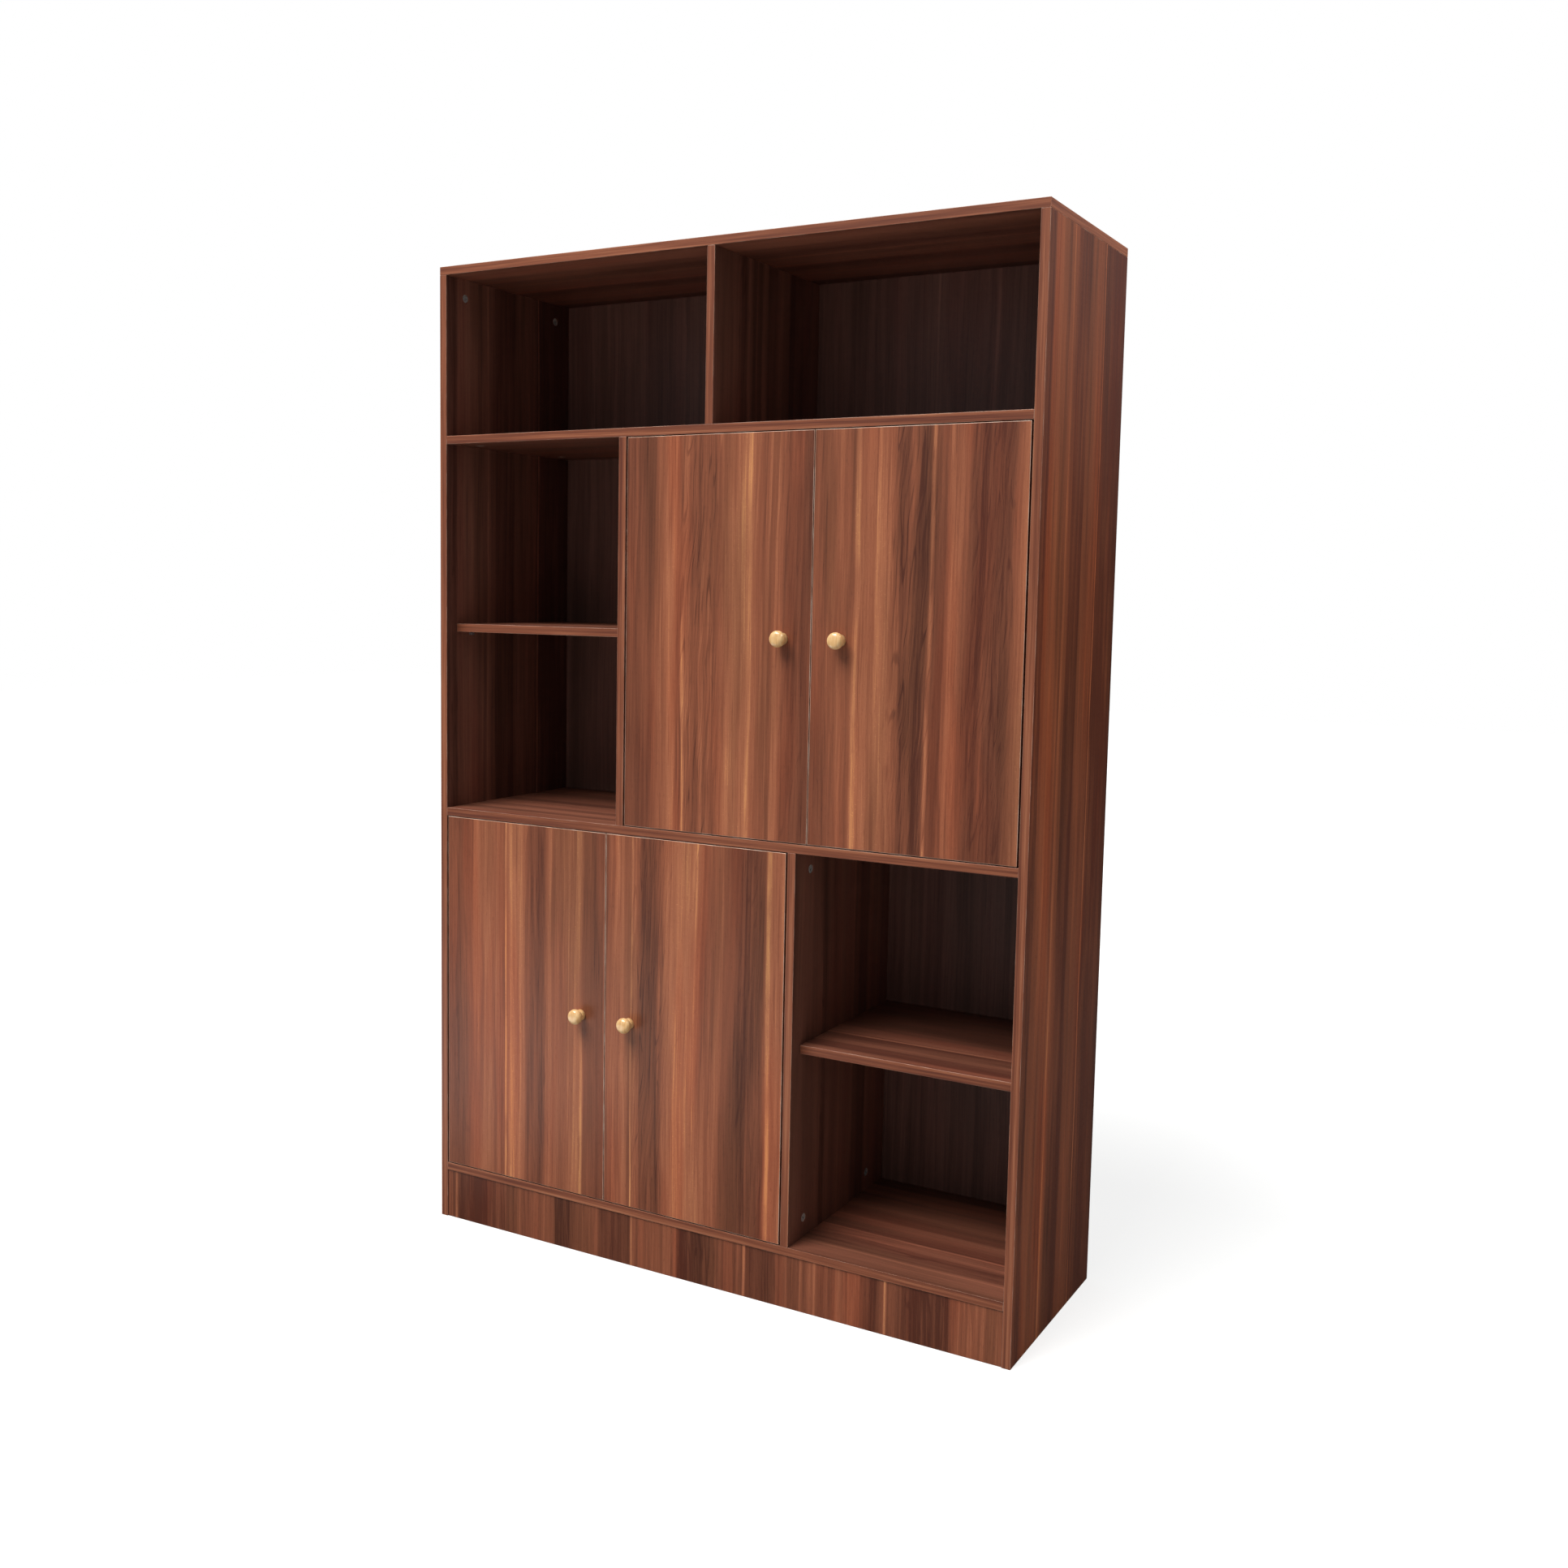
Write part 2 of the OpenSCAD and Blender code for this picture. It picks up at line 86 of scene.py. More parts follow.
def maths(tree, operation, *values, clamp=False):
    node = addNode(tree, "ShaderNodeMath", operation=operation, use_clamp=clamp)
    for socket, value in zip(node.inputs, values):
        plug(tree, socket, value)
    return node.outputs[0]


def plus(tree, first, second, clamp=False):
    return maths(tree, "ADD", first, second, clamp=clamp)


def minus(tree, first, second):
    return maths(tree, "SUBTRACT", first, second)


def times(tree, first, second):
    return maths(tree, "MULTIPLY", first, second)


def centred(tree, value):  # a field around 0.5 moved to lie around 0
    return minus(tree, value, 0.5)


def smooth(tree, value, low, high, outLow=0.0, outHigh=1.0):  # smooth step from low to high
    node = addNode(tree, "ShaderNodeMapRange", interpolation_type="SMOOTHSTEP")
    for socket, amount in zip(node.inputs, (value, low, high, outLow, outHigh)):
        plug(tree, socket, amount)
    return node.outputs[0]


def noise(tree, place, detail=2.0, rough=0.5, scale=1.0):
    return addNode(tree, "ShaderNodeTexNoise", {
        "Vector": place, "Scale": scale, "Detail": detail, "Roughness": rough}).outputs["Fac"]


def stretched(tree, place, size):  # place is across, along and seed; size is a cell's across and along in m
    across, along, seed = place
    return addNode(tree, "ShaderNodeCombineXYZ", {
        "X": maths(tree, "DIVIDE", across, size[0]),
        "Y": maths(tree, "DIVIDE", along, size[1]),
        "Z": seed}).outputs[0]


def parted(tree, vector):  # the three parts of a vector
    return addNode(tree, "ShaderNodeSeparateXYZ", {"Vector": vector}).outputs


def mixColour(tree, amount, first, second, blend="MIX"):
    node = addNode(tree, "ShaderNodeMix", data_type="RGBA", blend_type=blend)
    for index, value in ((0, amount), (6, first), (7, second)):
        plug(tree, node.inputs[index], value)
    return node.outputs[2]


def mixValue(tree, amount, first, second):
    node = addNode(tree, "ShaderNodeMix", data_type="FLOAT")
    for index, value in ((0, amount), (2, first), (3, second)):
        plug(tree, node.inputs[index], value)
    return node.outputs[0]


def ramp(tree, factor, stops):  # each stop is a position and a web colour or a grey value
    node = addNode(tree, "ShaderNodeValToRGB", {"Fac": factor})
    elements = node.color_ramp.elements
    while len(elements) < len(stops):
        elements.new(0.5)
    for element, (position, value) in zip(elements, stops):
        element.position = position
        element.color = hexColour(value) if isinstance(value, str) else (value, value, value, 1)
    return node.outputs["Color"]


def bumped(tree, shader, height, strength, depth):
    bump = addNode(tree, "ShaderNodeBump", {"Strength": strength, "Distance": depth, "Height": height})
    plug(tree, shader.inputs["Normal"], bump.outputs["Normal"])


def newGroup(name, inputs, outputs):
    group = bpy.data.node_groups.new(name, "ShaderNodeTree")
    for label, kind, value in inputs:
        socket = group.interface.new_socket(name=label, in_out="INPUT", socket_type=kind)
        if value is not None:
            socket.default_value = value
    for label, kind in outputs:
        group.interface.new_socket(name=label, in_out="OUTPUT", socket_type=kind)
    source = group.nodes.new("NodeGroupInput").outputs
    sink = group.nodes.new("NodeGroupOutput").inputs
    return group, source, sink


def placeGroup(tree, group, inputs):
    node = tree.nodes.new("ShaderNodeGroup")
    node.node_tree = group
    for name, value in inputs.items():
        plug(tree, node.inputs[name], value)
    return node.outputs


def newMaterial(name):
    material = bpy.data.materials.new(name)
    material.use_nodes = True
    tree = material.node_tree
    return material, tree, tree.nodes["Principled BSDF"]


# Effects that all the boards share. Cell sizes are across the grain, then along it, in m.
scalar, colour, vector = "NodeSocketFloat", "NodeSocketColor", "NodeSocketVector"

wander = {"slow": (0.12, 0.42), "quick": (0.02, 0.11), "sway": 3, "shake": 0.6}


def makeGrainWander():  # the bands drift a little from side to side along the board
    group, given, result = newGroup(
        "grainWander",
        [("Across", scalar, 0), ("Along", scalar, 0), ("Seed", scalar, 0), ("Drift", scalar, 0.006)],
        [("Across", scalar)])
    place = given["Across"], given["Along"], given["Seed"]
    slow = noise(group, stretched(group, place, wander["slow"]), detail=1)
    quick = noise(group, stretched(group, place, wander["quick"]), detail=2)
    sway = times(group, centred(group, slow), times(group, given["Drift"], wander["sway"]))
    shake = times(group, centred(group, quick), times(group, given["Drift"], wander["shake"]))
    plug(group, result["Across"], plus(group, given["Across"], plus(group, sway, shake)))
    return group


# Where the line's side starts and is full, in half widths, the length of its soft ends, and its patches.
streakShape = {
    "foot": 1.25, "full": 0.25, "fade": 0.12, "patches": (0.01, 0.16), "patchStep": (0.32, 0.56, 0.5, 1)}


def makeLightStreak():  # one thin light line along the grain, which may start or stop part of the way
    group, given, result = newGroup(
        "lightStreak",
        [("Across", scalar, 0), ("Along", scalar, 0), ("Centre", scalar, 0), ("Width", scalar, 0.004),
         ("From", scalar, -1), ("To", scalar, 3)],
        [("Mask", scalar)])
    distance = maths(group, "ABSOLUTE", minus(group, given["Across"], given["Centre"]))
    half = times(group, given["Width"], 0.5)
    foot, full = times(group, half, streakShape["foot"]), times(group, half, streakShape["full"])
    body = smooth(group, distance, foot, full)
    start = smooth(group, given["Along"], given["From"], plus(group, given["From"], streakShape["fade"]))
    stop = smooth(group, given["Along"], given["To"], minus(group, given["To"], streakShape["fade"]))
    place = given["Centre"], given["Along"], 0.0
    patchy = noise(group, stretched(group, place, streakShape["patches"]), detail=2)
    ends = times(group, start, times(group, stop, smooth(group, patchy, *streakShape["patchStep"])))
    plug(group, result["Mask"], times(group, body, ends))
    return group


walnut = {
    "fields": {  # cell size across and along, detail, roughness
        "cloud": (0.045, 0.40, 2, 0.5), "streak": (0.009, 0.50, 4, 0.7), "fibre": (0.0022, 0.10, 3, 0.7),
        "hair": (0.0030, 0.24, 2, 0.6), "tuft": (0.028, 0.30, 1, 0.5), "pore": (0.0007, 0.011, 1, 0.5),
        "fleck": (0.0035, 0.0022, 1, 0.5), "bend": (0.05, 0.16, 1, 0.5), "flame": (0.0042, 0.20, 3, 0.6),
        "rings": (0.024, 0.50, 1, 0.4), "breaks": (0.007, 0.09, 1, 0.5), "fading": (0.06, 0.34, 1, 0.5),
        "hue": (0.06, 0.7, 2, 0.5)},
    "strips": (0.011, 0.8), "bending": 0.022, "ringCount": 12.0, "ringFold": 0.5,
    "steps": {  # where a mask starts and is full in its field, and what it then runs from and to
        "flame": (0.50, 0.58), "ember": (0.43, 0.34), "ring": (0.14, 0.04), "breaks": (0.44, 0.54),
        "pore": (0.60, 0.72), "tuft": (0.36, 0.60, 0.25, 1.0), "darkHair": (0.56, 0.66),
        "paleHair": (0.42, 0.33), "fading": (0.48, 0.75, 0, 0.3), "fleck": (0.64, 0.74),
        "lightEnough": (0.5, 0.7), "greyer": (0.5, 0.70, 0, 0.6), "redder": (0.5, 0.32, 0, 0.55)},
    "fieldTones": {"cloud": 0.30, "streak": 0.62, "strip": 0.18, "fibre": 0.32},
    "markTones": {"pore": -0.12, "flame": -0.13, "thread": -0.24, "ember": 0.07, "darkHair": -0.15,
                  "paleHair": 0.09, "fleck": 0.10},
    "fadedTone": 0.46,
    "browns": [(0.0, "53291b"), (0.25, "703e2a"), (0.5, "8a4e35"), (0.75, "a56445"), (1.0, "ce8c5a")],
    "greyTint": "cfd6d2", "redTint": "ffdfd2",
    "roughness": 0.40, "fibreRoughness": 0.12, "poreRoughness": 0.10, "fibreHeight": 0.4}


def makeWalnutPrint():  # printed walnut: fibres, soft streaks, leaning dark figure and pores over the bands
    group, given, result = newGroup(
        "walnutPrint",
        [("Tone", scalar, 0.5), ("Across", scalar, 0), ("Along", scalar, 0), ("Seed", scalar, 0),
         ("Figure", scalar, 0), ("Lean", scalar, 0.05), ("Warmth", scalar, 1.0),
         ("Depth", scalar, 1.0)],
        [("Colour", colour), ("Roughness", scalar), ("Height", scalar)])
    across, along, seed = given["Across"], given["Along"], given["Seed"]

    def field(name, sideways=across):
        wide, long, detail, rough = walnut["fields"][name]
        return noise(group, stretched(group, (sideways, along, seed), (wide, long)), detail, rough)

    def mask(name, value):
        return smooth(group, value, *walnut["steps"][name])

    strips = addNode(group, "ShaderNodeTexVoronoi", {
        "Vector": stretched(group, (across, along, seed), walnut["strips"]), "Scale": 1.0},
        voronoi_dimensions="2D").outputs["Color"]
    strip = addNode(group, "ShaderNodeSeparateColor", {"Color": strips}).outputs[0]
    fibre, hair = field("fibre"), field("hair")

    leaning = plus(group, across, times(group, along, given["Lean"]))
    bent = plus(group, leaning, times(group, field("bend"), walnut["bending"]))
    flame = field("flame", bent)
    turns = times(group, field("rings", bent), walnut["ringCount"])
    ring = maths(group, "PINGPONG", turns, walnut["ringFold"])
    thread = times(group, mask("ring", ring), mask("breaks", field("breaks", bent)))
    clump = mask("tuft", field("tuft"))
    pore = mask("pore", field("pore"))
    marks = {
        "flame": times(group, mask("flame", flame), given["Figure"]),
        "thread": times(group, thread, given["Figure"]),
        "ember": times(group, mask("ember", flame), given["Figure"]),
        "darkHair": times(group, mask("darkHair", hair), clump),
        "paleHair": times(group, mask("paleHair", hair), clump)}

    detail = times(group, pore, walnut["markTones"]["pore"])
    fields = {"cloud": field("cloud"), "streak": field("streak"), "strip": strip, "fibre": fibre}
    for name, value in fields.items():
        detail = plus(group, detail, times(group, centred(group, value), walnut["fieldTones"][name]))
    for name, value in marks.items():
        detail = plus(group, detail, times(group, value, walnut["markTones"][name]))
    tone = mixValue(group, mask("fading", field("fading")), given["Tone"], walnut["fadedTone"])
    tone = plus(group, tone, times(group, detail, given["Depth"]))
    fleck = times(group, mask("fleck", field("fleck")), mask("lightEnough", tone))
    tone = plus(group, tone, times(group, fleck, walnut["markTones"]["fleck"]), clamp=True)

    browns, hue = ramp(group, tone, walnut["browns"]), field("hue")
    greyed = mixColour(group, 1.0, browns, hexColour(walnut["greyTint"]), "MULTIPLY")
    greyer = mixColour(group, mask("greyer", hue), browns, greyed)
    reddened = mixColour(group, 1.0, greyer, hexColour(walnut["redTint"]), "MULTIPLY")
    redder = mixColour(group, mask("redder", hue), greyer, reddened)
    plug(group, result["Colour"], addNode(group, "ShaderNodeHueSaturation", {
        "Saturation": given["Warmth"], "Color": redder}).outputs[0])
    rough = plus(group, walnut["roughness"], times(group, centred(group, fibre), walnut["fibreRoughness"]))
    plug(group, result["Roughness"], plus(group, rough, times(group, pore, walnut["poreRoughness"])))
    plug(group, result["Height"], minus(group, times(group, fibre, walnut["fibreHeight"]), pore))
    return group


banding = {
    "broad": (0.0065, 0.6), "fine": (0.0014, 0.10), "fineTone": 0.5,
    "browns": [(0.28, "603224"), (0.45, "77422d"), (0.60, "8b5138"), (0.76, "a2684a")],
    "roughness": 0.36, "fineRoughness": 0.1}


def makeEdgeBand():  # edge banding: redder and plainer than the faces, its lines run along the edge
    group, given, result = newGroup(
        "edgeBand",
        [("Across", scalar, 0), ("Along", scalar, 0), ("Seed", scalar, 0)],
        [("Colour", colour), ("Roughness", scalar)])
    place = given["Across"], given["Along"], given["Seed"]
    broad = noise(group, stretched(group, place, banding["broad"]), detail=2)
    fine = noise(group, stretched(group, place, banding["fine"]), detail=2)
    tone = plus(group, broad, times(group, centred(group, fine), banding["fineTone"]))
    plug(group, result["Colour"], ramp(group, tone, banding["browns"]))
    plug(group, result["Roughness"], plus(group, banding["roughness"],
                                          times(group, fine, banding["fineRoughness"])))
    return group


faceRules = {
    "arrisSlope": (0.995, 0.95),  # how far the normal leans away from every axis on a rounded arris
    # The rim core and the wear keys shape the pale line along the arrises: a painted highlight, with lighter
    # patches of wear.
    "facing": 0.7, "highlightRimCore": 0.6, "wearHighlightScale": 28.0, "wearHighlightDetail": 3.0, "wearHighlightStep": (0.42, 0.62)}


def makeBoardFaces():  # tells a board's faces, its long edges, its end edges and its arrises apart
    group, given, result = newGroup(
        "boardFaces",
        [("Facing", vector, None), ("Place", vector, None), ("Across", scalar, 0), ("Along", scalar, 0),
         ("Width", scalar, 1), ("Length", scalar, 1), ("Rim", scalar, 0)],
        [("Edge", scalar), ("End", scalar), ("Arris", scalar), ("WornHighlight", scalar)])
    facing = parted(group, given["Facing"])
    alongPart, acrossPart, thickPart = [maths(group, "ABSOLUTE", part) for part in facing]
    biggest = maths(group, "MAXIMUM", alongPart, maths(group, "MAXIMUM", acrossPart, thickPart))
    rounded = smooth(group, biggest, *faceRules["arrisSlope"])
    sides = maths(group, "MINIMUM", given["Across"], given["Along"])
    farSides = maths(group, "MINIMUM", minus(group, given["Width"], given["Across"]),
                     minus(group, given["Length"], given["Along"]))
    nearest = maths(group, "MINIMUM", sides, farSides)
    # A pale line on a face just inside its edge: a painted highlight that widens the one on the arris.
    highlightRim = smooth(group, nearest, given["Rim"], times(group, given["Rim"], faceRules["highlightRimCore"]))
    onFace = maths(group, "GREATER_THAN", thickPart, faceRules["facing"])
    arris = maths(group, "MAXIMUM", rounded, times(group, highlightRim, onFace))
    plug(group, result["Edge"], minus(group, 1.0, onFace))
    plug(group, result["End"], maths(group, "GREATER_THAN", alongPart, faceRules["facing"]))
    plug(group, result["Arris"], arris)
    # Lighter patches on the arris: wear over the painted highlight.
    wearHighlightNoise = noise(group, given["Place"], faceRules["wearHighlightDetail"], scale=faceRules["wearHighlightScale"])
    plug(group, result["WornHighlight"], times(group, arris, smooth(group, wearHighlightNoise, *faceRules["wearHighlightStep"])))
    return group


grainWander = makeGrainWander()
lightStreak = makeLightStreak()
walnutPrint = makeWalnutPrint()
edgeBand = makeEdgeBand()
boardFaces = makeBoardFaces()
print("shared shader groups made")

# Bands run across the board from its lowest corner: distance in mm, then tone from 0 (dark) to 1 (light).
# Streaks are centre, width, tone, and where they start and stop along the grain, in mm from its low end.
# Figure is where the leaning dark lines lie: from, to, strength.
doorPrints = {
    "upper_left": {
        "seed": 3.1, "lean": -0.05, "drift": 0.004,
        "bands": [(0, 0.24), (14, 0.34), (52, 0.31), (66, 0.50), (82, 0.66), (98, 0.68), (106, 0.50),
                  (132, 0.48), (145, 0.32), (156, 0.50), (176, 0.38), (188, 0.60), (236, 0.68), (254, 0.58),
                  (272, 0.48), (298, 0.54), (310, 0.38), (340, 0.28), (361, 0.22)],
        "streaks": [(118, 8, 0.90, -100, 470), (245, 11, 1.0, -200, 900)],
        "figure": [(112, 182, 1.0), (300, 350, 0.35)]},
    "upper_right": {
        "seed": 11.4, "lean": -0.07, "drift": 0.005,
        "bands": [(0, 0.34), (22, 0.33), (34, 0.48), (50, 0.50), (66, 0.44), (88, 0.64), (138, 0.58),
                  (148, 0.42), (158, 0.30), (174, 0.40), (188, 0.24), (202, 0.36), (228, 0.36), (236, 0.56),
                  (252, 0.54), (264, 0.40), (276, 0.25), (330, 0.27), (344, 0.50), (361, 0.60)],
        "streaks": [(80, 12, 0.98, -200, 900), (206, 9, 0.86, -200, 900)],
        "figure": [(140, 208, 1.0), (272, 342, 0.6)]},
    "lower_left": {
        "seed": 23.7, "lean": 0.035, "drift": 0.003,
        "bands": [(0, 0.34), (45, 0.38), (60, 0.50), (76, 0.60), (98, 0.64), (116, 0.50), (134, 0.42),
                  (148, 0.66), (176, 0.62), (188, 0.46), (200, 0.34), (218, 0.27), (226, 0.34), (236, 0.54),
                  (258, 0.53), (280, 0.60), (306, 0.64), (314, 0.44), (326, 0.35), (346, 0.28), (361, 0.36)],
        "streaks": [(137, 5, 0.96, -200, 900), (309, 8, 0.90, -200, 380)],
        "figure": [(0, 60, 0.3), (196, 234, 0.6)]},
    "lower_right": {
        "seed": 37.2, "lean": -0.06, "drift": 0.004,
        "bands": [(0, 0.40), (12, 0.44), (22, 0.62), (38, 0.58), (48, 0.50), (62, 0.56), (76, 0.40),
                  (90, 0.34), (118, 0.42), (130, 0.58), (152, 0.64), (178, 0.64), (190, 0.68), (202, 0.52),
                  (240, 0.50), (252, 0.40), (268, 0.37), (280, 0.27), (310, 0.25), (322, 0.34), (344, 0.56),
                  (361, 0.58)],
        "streaks": [(56, 5, 0.98, -200, 900), (187, 5, 0.94, -200, 900), (333, 12, 0.92, -200, 900)],
        "figure": [(58, 130, 0.9), (268, 326, 0.4)]},
}
# The side's tones lie lower than the doors': print with painted shade, set to the shaded right side and used
# on both sides.
sidePrintAndShade = {
    "seed": 51.0, "lean": 0.03, "drift": 0.004, "contrast": 1.45,
    "bands": [(0, 0.27), (26, 0.21), (34, 0.39), (84, 0.45), (112, 0.37), (124, 0.45), (140, 0.35),
              (148, 0.19), (200, 0.17), (208, 0.33), (268, 0.39), (276, 0.23), (292, 0.25), (300, 0.11),
              (340, 0.17), (395, 0.15)],
    "streaks": [(122, 4, 0.75, -500, 3000), (279, 5, 0.8, -500, 3000)],
    "figure": [(0, 32, 0.5), (296, 395, 0.3)]}
shelfPrint = {
    # Its warmth below 1 greys it like the other inside boards: painted shade inside the bay.
    "seed": 77.0, "lean": 0.01, "drift": 0.002, "warmth": (0.92, 0.92), "depth": 0.65,
    "bands": [(0, 0.30), (14, 0.30), (24, 0.06), (48, 0.08), (58, 0.28), (84, 0.20), (100, 0.04), (104, 0.34),
              (150, 0.26), (160, 0.10), (210, 0.12), (240, 0.20), (350, 0.16)],
    "streaks": [(108, 6, 0.72, -500, 3000)],
    "figure": [(30, 80, 0.5)]}
# The plinth's tones lie lower than the doors': print with painted shade, for the plinth low down, which gets
# less light.
plinthPrintAndShade = {
    "seed": 64.3, "lean": 0.05, "drift": 0.002,
    "bands": [(0, 0.28), (24, 0.30), (32, 0.04), (88, 0.04), (96, 0.16), (150, 0.20), (162, 0.32),
              (250, 0.36), (258, 0.08), (288, 0.10), (310, 0.42), (350, 0.36), (358, 0.08), (420, 0.14),
              (430, 0.36), (490, 0.48), (520, 0.46), (532, 0.06), (588, 0.08), (596, 0.38), (650, 0.36),
              (668, 0.10), (715, 0.12), (722, 0.40), (880, 0.44), (910, 0.08), (935, 0.40), (962, 0.08),
              (1036, 0.12), (1050, 0.46), (1130, 0.42)],
    "streaks": [(21, 6, 0.8, -200, 900), (425, 6, 0.8, -200, 900), (660, 7, 0.9, -200, 900),
                (796, 6, 0.8, -200, 900), (926, 6, 0.84, -200, 900)],
    "figure": [(32, 96, 0.6), (262, 300, 0.8), (530, 596, 0.9), (962, 1040, 0.6)]}

freePrint = {  # how the boards without a print of their own are drawn, in mm and tones
    "edgeTone": 0.34, "middleTone": 0.36, "first": (18, 40), "mostBands": 28, "lastGap": 12,
    "tones": [(0.16, 0.30), (0.34, 0.48), (0.44, 0.60)], "bandWidth": (10, 40), "shade": (-0.05, 0.05),
    "gap": (4, 16), "streakCount": 2, "streakTone": 0.66, "streakPlace": (0.1, 0.9), "streakWidth": (5, 8),
    "streakReach": 5000,
    "figurePlace": (0.1, 0.6), "figureWidth": 60, "figureStrength": 0.8, "lean": (-0.06, 0.06),
    "drift": 0.005, "depth": 0.65, "seedStep": 1.7}


def drawnPrint(seed, width, dark, warmth, spread):  # a free print, always the same for a seed
    # dark lowers every tone and warmth below 1 greys the print: painted shade for the boards inside the bays.
    rng = random.Random(seed)
    rule = freePrint
    bands, place = [(0, rule["edgeTone"] - dark)], rng.uniform(*rule["first"])
    while place < width - rule["lastGap"] and len(bands) < rule["mostBands"]:
        low, high = rng.choice(rule["tones"])
        tone = rng.uniform(low, high) - dark
        bands.append((place, tone))
        bands.append((place + rng.uniform(*rule["bandWidth"]), tone + rng.uniform(*rule["shade"])))
        place = bands[-1][0] + rng.uniform(*rule["gap"])
    streaks = [(rng.uniform(*rule["streakPlace"]) * width, rng.uniform(*rule["streakWidth"]),
                rule["streakTone"] - dark, -rule["streakReach"], rule["streakReach"])
               for _ in range(rule["streakCount"])]
    start = rng.uniform(*rule["figurePlace"]) * width
    middle = rule["middleTone"]
    return {"seed": seed * rule["seedStep"], "lean": rng.uniform(*rule["lean"]), "drift": rule["drift"],
            "bands": [(x, middle - dark + (tone + dark - middle) * spread) for x, tone in bands if x < width],
            "streaks": streaks, "figure": [(start, start + rule["figureWidth"], rule["figureStrength"])],
            "warmth": warmth, "depth": rule["depth"]}


def figureStops(zones, width, soft=10):  # soft-sided zones for the leaning figure, as positions on a ramp
    stops = [(0.0, 0.0)]
    for start, end, strength in zones:
        zone = [(start - soft, 0), (start + soft, strength), (end - soft, strength), (end + soft, 0)]
        for place, value in zone:
            stops.append((min(max(place / width, 0), 1), float(value)))
    return stops


# The arris colours are lighter than the board's: a painted highlight along the rounded edges, and the worn
# colour, lighter still, is also wear. The doors' colours are paler and carry a pale rim on the face, also a
# painted highlight.
boardLook = {  # what holds for a board whose own dictionary says nothing else
    "warmth": (1.0, 1.0), "contrast": 1.0, "depth": 1.0, "rim": 0, "arris": "94604b", "worn": "b08a76"}
doorLook = {"arris": "c49c86", "worn": "e4c6b2", "rim": 0.9, "contrast": 1.3}
boardFinish = {
    "middleTone": 0.45, "streakStrength": 0.9, "arrisStrength": 0.8, "edgeSeedStep": 5,
    "bump": 0.12, "bumpDepth": 0.0002, "specular": 0.35}


def laminate(name, node, look, grain, across):  # one board's print, laid out from the board's lowest corner
    look = {**boardLook, **look}
    low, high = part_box(node)
    thick = (set("XYZ") - {grain, across}).pop()
    order = ["XYZ".index(axis) for axis in (grain, across, thick)]
    width = (high - low)[order[1]] / mm
    material, tree, shader = newMaterial(name)
    coordinates = tree.nodes.new("ShaderNodeTexCoord").outputs
    place, facing = parted(tree, coordinates["Object"]), parted(tree, coordinates["Normal"])
    along, side, depth = [minus(tree, place[i], low[i]) for i in order]
    turned = addNode(tree, "ShaderNodeCombineXYZ", dict(zip("XYZ", [facing[i] for i in order]))).outputs[0]
    parts = placeGroup(tree, boardFaces, {
        "Facing": turned, "Place": coordinates["Object"], "Across": side, "Along": along,
        "Width": width * mm, "Length": (high - low)[order[0]], "Rim": look["rim"] * mm})

    common = {"Along": along, "Seed": look["seed"]}
    wandered = placeGroup(tree, grainWander, {**common, "Across": side, "Drift": look["drift"]})["Across"]
    unit = maths(tree, "DIVIDE", wandered, width * mm)
    middle = boardFinish["middleTone"]
    tone = ramp(tree, unit, [(min(x / width, 1), middle + (value - middle) * look["contrast"])
                             for x, value in look["bands"]])
    for centre, wide, streakTone, start, stop in look["streaks"]:
        mask = placeGroup(tree, lightStreak, {
            "Across": wandered, "Along": along, "Centre": centre * mm, "Width": wide * mm,
            "From": start * mm, "To": stop * mm})["Mask"]
        tone = mixValue(tree, times(tree, mask, boardFinish["streakStrength"]), tone, streakTone)
    highSide = maths(tree, "GREATER_THAN", facing[order[2]], 0)
    face = placeGroup(tree, walnutPrint, {
        **common, "Tone": tone, "Across": wandered, "Lean": look["lean"], "Depth": look["depth"],
        "Figure": ramp(tree, unit, figureStops(look["figure"], width)),
        "Warmth": mixValue(tree, highSide, *look["warmth"])})
    band = placeGroup(tree, edgeBand, {
        "Across": depth, "Along": mixValue(tree, parts["End"], along, side),
        "Seed": look["seed"] + boardFinish["edgeSeedStep"]})

    base = mixColour(tree, parts["Edge"], face["Colour"], band["Colour"])
    # Lighter arrises: a painted highlight along the rounded edges, with patches of wear.
    arris = mixColour(tree, parts["WornHighlight"], hexColour(look["arris"]), hexColour(look["worn"]))
    base = mixColour(tree, times(tree, parts["Arris"], boardFinish["arrisStrength"]), base, arris)
    plug(tree, shader.inputs["Base Color"], base)
    rough = mixValue(tree, parts["Edge"], face["Roughness"], band["Roughness"])
    plug(tree, shader.inputs["Roughness"], rough)
    bumped(tree, shader, face["Height"], boardFinish["bump"], boardFinish["bumpDepth"])
    shader.inputs["Specular IOR Level"].default_value = boardFinish["specular"]
    return material


def makePlainNormals():  # drops the stored normals, which no longer fit once the edges are rounded
    group = bpy.data.node_groups.new("plainNormals", "GeometryNodeTree")
    for side in ("INPUT", "OUTPUT"):
        group.interface.new_socket(name="Geometry", in_out=side, socket_type="NodeSocketGeometry")
    source = group.nodes.new("NodeGroupInput").outputs
    sink = group.nodes.new("NodeGroupOutput").inputs
    remove = addNode(group, "GeometryNodeRemoveAttribute", {"Geometry": source[0], "Name": "custom_normal"})
    group.links.new(remove.outputs[0], sink[0])
    return group


plainNormals = makePlainNormals()
boardEase = {"width": 0.8 * mm, "angle": 40}
doorEase = {"width": 1.0 * mm, "angle": 40}
fittingEase = {"width": 0.2 * mm, "angle": 50}
easing = {"weld": 0.01 * mm, "flatAngle": 0.5, "segments": 2}


